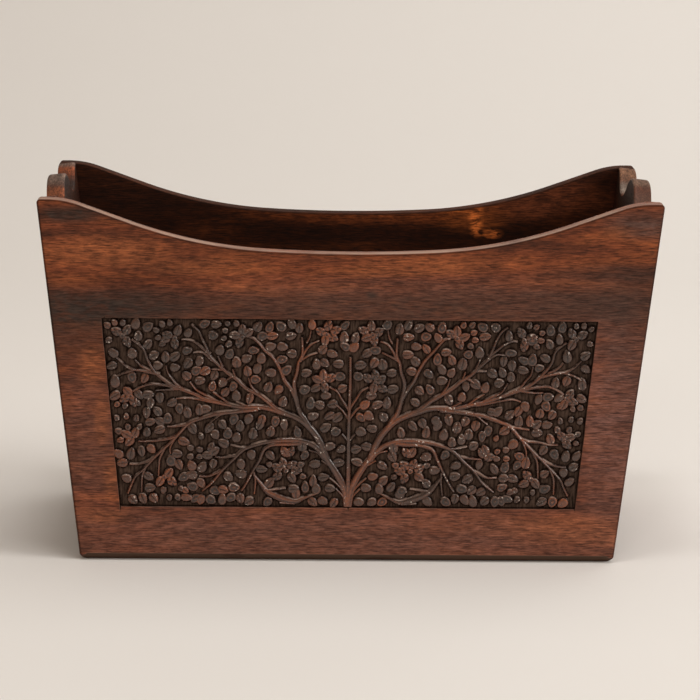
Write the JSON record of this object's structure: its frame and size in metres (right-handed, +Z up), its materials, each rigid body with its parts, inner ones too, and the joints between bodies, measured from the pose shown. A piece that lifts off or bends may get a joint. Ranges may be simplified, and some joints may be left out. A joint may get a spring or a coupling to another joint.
{
  "type": "magazine rack",
  "caption": "Open wooden magazine rack with a dipped top edge, scalloped leaning ends and a sunk field of carved vine on its long sides.",
  "frame": {"origin": "middle of the footprint, on the floor the rack stands on", "axes": "+Z up, +X along the rack's length to the viewer's right, +Y from the front board to the back board; the rack is the same turned half round about Z"},
  "size_m": [0.4062, 0.17, 0.2452],
  "materials": {
    "stained_wood": "dark stained, satin lacquer",
    "base_wood": "dark stained, satin lacquer",
    "dowel_wood": "bare"
  },
  "bodies": {
    "root": {"front_board": "stained_wood", "back_board": "stained_wood", "left_end_board": "stained_wood", "right_end_board": "stained_wood", "base_board": "base_wood", "front_dowels": "dowel_wood", "back_dowels": "dowel_wood"}
  },
  "joints": []
}
